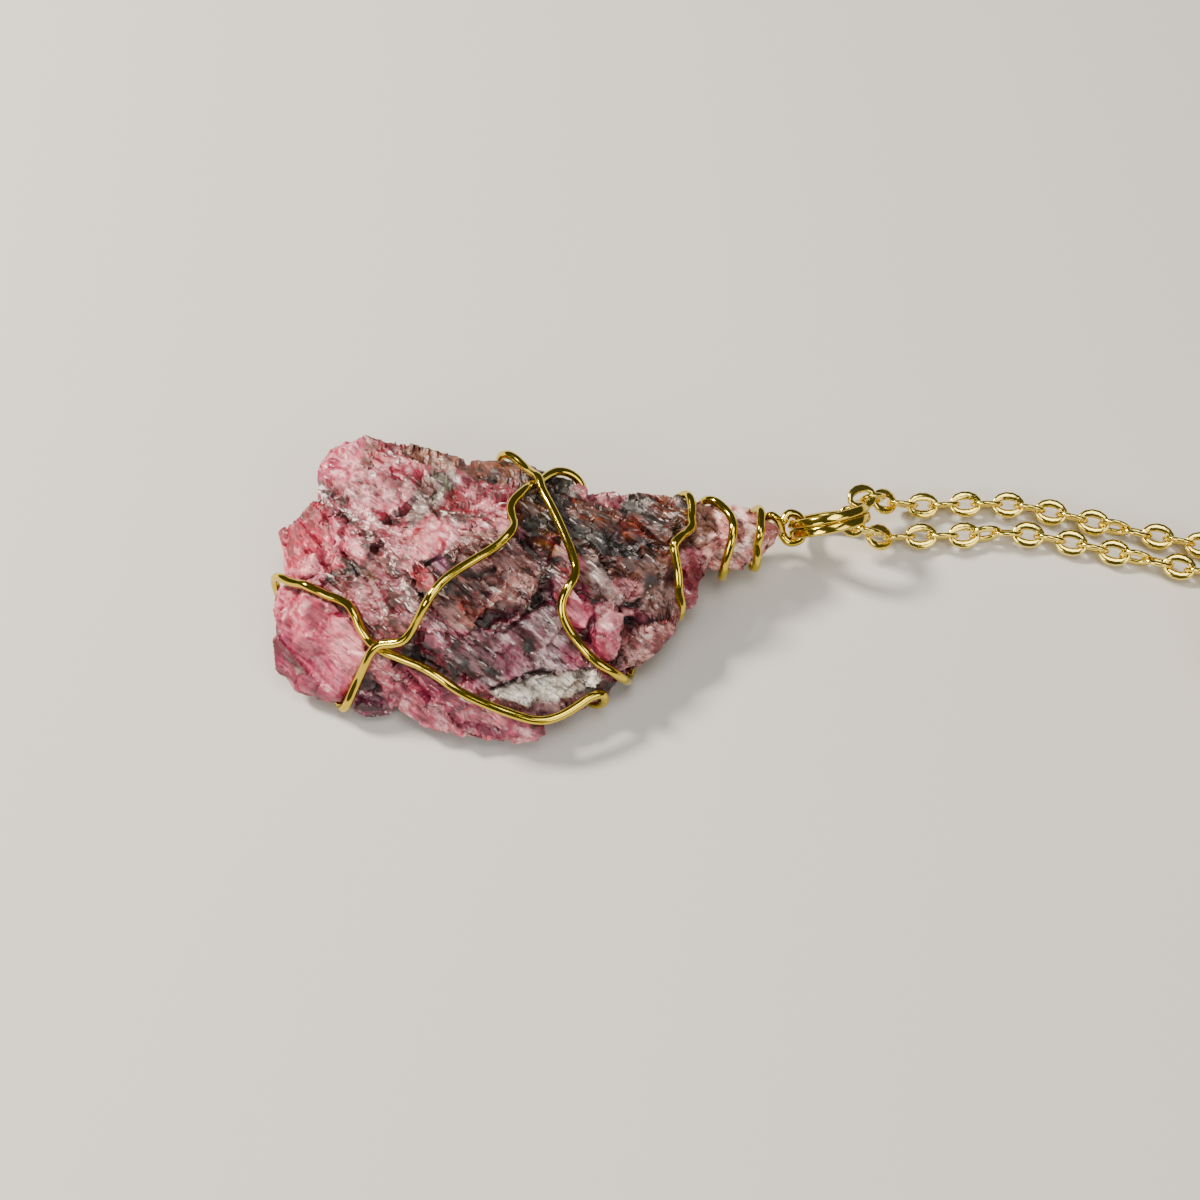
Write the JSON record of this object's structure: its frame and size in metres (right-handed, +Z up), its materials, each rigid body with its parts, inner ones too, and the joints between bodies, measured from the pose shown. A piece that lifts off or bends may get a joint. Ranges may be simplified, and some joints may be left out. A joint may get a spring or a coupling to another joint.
{
  "type": "wire-wrapped rhodonite pendant on a chain",
  "caption": "Rough pink rhodonite lump bound in gold-coloured wire, hung by an eye and a split ring on a flat cable chain.",
  "frame": {"origin": "a point on the stone's flat resting face, near the middle of the stone", "axes": "+X along the stone towards its narrow tip and the ring, +Z up out of the table"},
  "size_m": [0.1149, 0.0366, 0.0132],
  "materials": {
    "stone": "rough broken rhodonite, half glassy",
    "wire": "polished gold-coloured wire",
    "ring": "polished gold plating",
    "chain": "polished gold plating"
  },
  "bodies": {
    "root": {"stone": "stone", "wire_wrap": "wire", "split_ring": "ring", "chain_run": "chain", "chain_coil": "chain", "clasp": "chain", "clasp_ring": "chain"}
  },
  "joints": []
}
